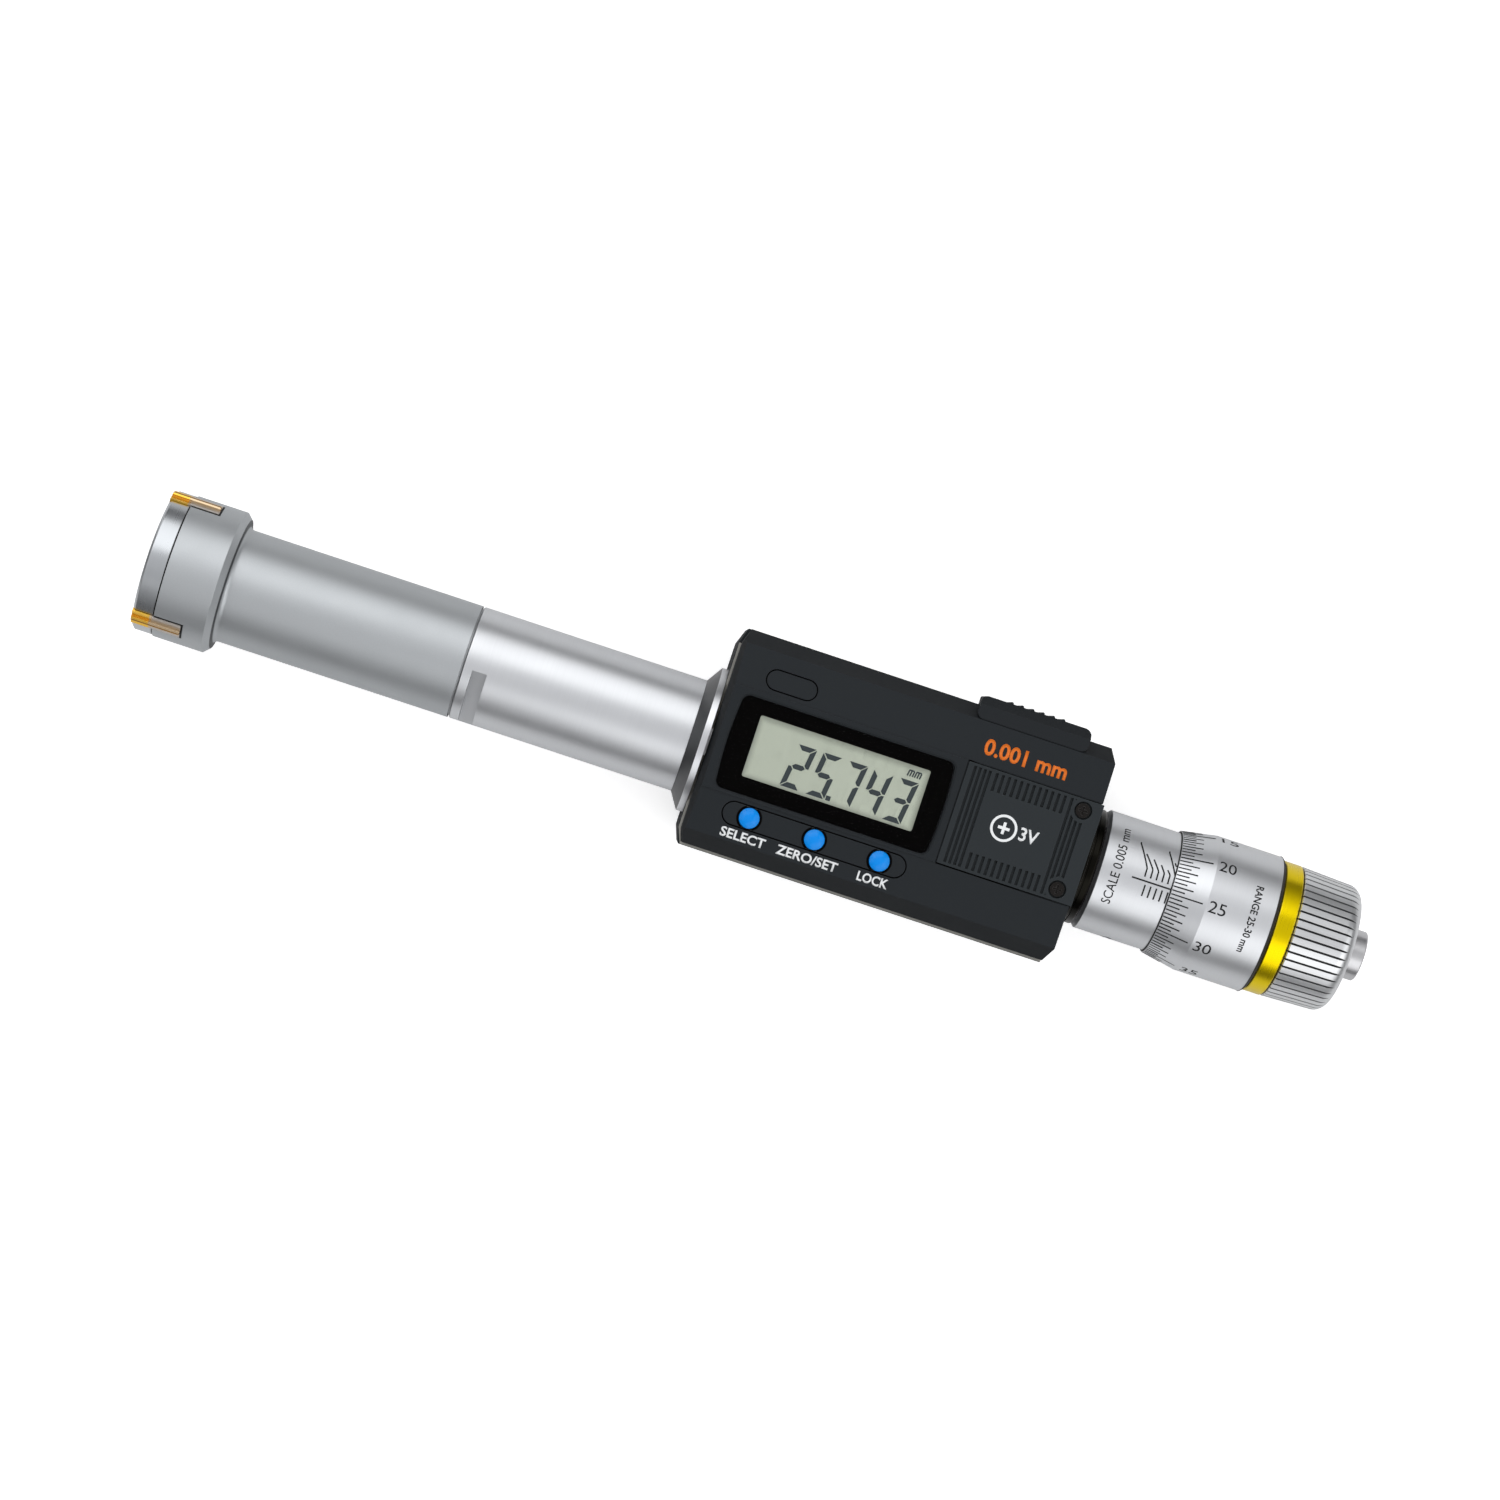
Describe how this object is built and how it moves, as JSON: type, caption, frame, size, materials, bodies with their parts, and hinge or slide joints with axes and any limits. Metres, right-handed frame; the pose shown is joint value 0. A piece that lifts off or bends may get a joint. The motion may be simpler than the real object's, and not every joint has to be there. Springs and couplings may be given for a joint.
{
  "type": "inside micrometer",
  "caption": "Bore-measuring inside micrometer with radial contacts driven by a cone, graduated thimble, ratchet knob and digital display housing.",
  "frame": {"origin": "on the housing's flat back face, midway along the housing and under the measuring axis", "axes": "+X along the measuring axis from the head towards the ratchet, +Z out of the display, +Y towards the top of the display"},
  "size_m": [0.2131, 0.0396, 0.0307],
  "materials": {
    "satin_head_steel": "satin ground",
    "bright_ring_steel": "fine turned",
    "satin_chrome": "satin chrome plated",
    "contact_steel": "ground",
    "gold_coating": "hard gold-coloured coating",
    "black_screws": "black oxide",
    "inner_steel": "machined",
    "nut_brass": "machined",
    "spring_steel": "bright",
    "frame_aluminium": "machined",
    "housing_plastic": "fine texture",
    "cap_plastic": "fine texture",
    "window_plastic": "clear with a printed black border",
    "display_glass": "liquid crystal panel",
    "board": "circuit board",
    "soft_seal": "matt",
    "blue_buttons": "satin",
    "battery_steel": "bright",
    "black_ring": "gloss",
    "yellow_anodised": "satin anodised",
    "knob_steel": "blasted"
  },
  "bodies": {
    "instrument_body": {"head_body": "satin_head_steel", "head_ring": "bright_ring_steel", "head_screws": "black_screws", "extension_tube": "satin_chrome", "collar": "satin_chrome", "seal_ring": "black_ring", "sleeve": "satin_chrome", "front_cover": "housing_plastic", "rear_cover": "housing_plastic", "case_screws": "black_screws", "display_window": "window_plastic", "battery_cover": "housing_plastic", "battery_cover_screws": "black_screws", "data_socket": "cap_plastic", "front_bush": "nut_brass", "rear_bush": "nut_brass", "main_frame": "frame_aluminium", "encoder_stator": "board", "inner_sleeve": "inner_steel", "taper_nut": "inner_steel", "housing_gasket": "soft_seal", "display_panel": "display_glass", "circuit_board": "board", "button_mat": "soft_seal", "battery_seal": "soft_seal", "battery": "battery_steel", "battery_contact": "spring_steel", "rod_spring": "spring_steel", "contact_spring_1": "spring_steel", "contact_spring_2": "spring_steel", "contact_spring_3": "spring_steel"},
    "feed": {"push_rod": "inner_steel", "cone": "inner_steel", "thrust_ball": "inner_steel"},
    "thimble": {"spindle": "inner_steel", "thimble": "satin_chrome", "colour_ring": "yellow_anodised", "ratchet_screw": "knob_steel", "ratchet_plate": "inner_steel"},
    "ratchet": {"ratchet_knob": "knob_steel", "ratchet_ring": "inner_steel", "ratchet_spring": "spring_steel"},
    "encoder_rotor": {"encoder_rotor": "board"},
    "contact_1": {"contact_carrier_1": "contact_steel", "contact_tip_1": "gold_coating"},
    "contact_2": {"contact_carrier_2": "contact_steel", "contact_tip_2": "gold_coating"},
    "contact_3": {"contact_carrier_3": "contact_steel", "contact_tip_3": "gold_coating"},
    "button_1": {"button_1": "blue_buttons"},
    "button_2": {"button_2": "blue_buttons"},
    "button_3": {"button_3": "blue_buttons"},
    "connector_cap": {"connector_cap": "cap_plastic"}
  },
  "joints": [
    {"name": "spindle_feed", "type": "slide", "parent": "instrument_body", "child": "feed", "axis": [-1, 0, 0], "range_m": [-0.00149, 0.00851], "deforming": ["rod_spring"]},
    {"name": "thimble_turn", "type": "hinge", "parent": "feed", "child": "thimble", "pos_m": [0.0573, 0, 0.0153], "axis": [-1, 0, 0], "range_deg": [-535.46, 3065.54]},
    {"name": "encoder_spin", "type": "hinge", "parent": "instrument_body", "child": "encoder_rotor", "pos_m": [0, 0, 0.0153], "axis": [-1, 0, 0], "range_deg": [-535.46, 3065.54]},
    {"name": "ratchet_turn", "type": "hinge", "parent": "thimble", "child": "ratchet", "pos_m": [0.0765, 0, 0.0153], "axis": [-1, 0, 0], "continuous": true},
    {"name": "contact_1_slide", "type": "slide", "parent": "instrument_body", "child": "contact_1", "axis": [0, 0.9026, 0.4305], "range_m": [-0.00037, 0.00213], "deforming": ["contact_spring_1"]},
    {"name": "contact_2_slide", "type": "slide", "parent": "instrument_body", "child": "contact_2", "axis": [0, -0.8241, 0.5664], "range_m": [-0.00037, 0.00213], "deforming": ["contact_spring_2"]},
    {"name": "contact_3_slide", "type": "slide", "parent": "instrument_body", "child": "contact_3", "axis": [0, -0.0785, -0.9969], "range_m": [-0.00037, 0.00213], "deforming": ["contact_spring_3"]},
    {"name": "button_1_press", "type": "slide", "parent": "instrument_body", "child": "button_1", "axis": [0, 0, -1], "range_m": [0, 0.0005], "stiffness_N_per_m": 600},
    {"name": "button_2_press", "type": "slide", "parent": "instrument_body", "child": "button_2", "axis": [0, 0, -1], "range_m": [0, 0.0005], "stiffness_N_per_m": 600},
    {"name": "button_3_press", "type": "slide", "parent": "instrument_body", "child": "button_3", "axis": [0, 0, -1], "range_m": [0, 0.0005], "stiffness_N_per_m": 600},
    {"name": "cap_pull", "type": "slide", "parent": "instrument_body", "child": "connector_cap", "axis": [0, 1, 0], "range_m": [0, 0.012]}
  ],
  "couplings": [
    {"joint": "thimble_turn", "follows": "spindle_feed", "rad_per_m": 6283.2},
    {"joint": "encoder_spin", "follows": "spindle_feed", "rad_per_m": 6283.2},
    {"joint": "contact_1_slide", "follows": "spindle_feed", "ratio": 0.25},
    {"joint": "contact_2_slide", "follows": "spindle_feed", "ratio": 0.25},
    {"joint": "contact_3_slide", "follows": "spindle_feed", "ratio": 0.25}
  ]
}
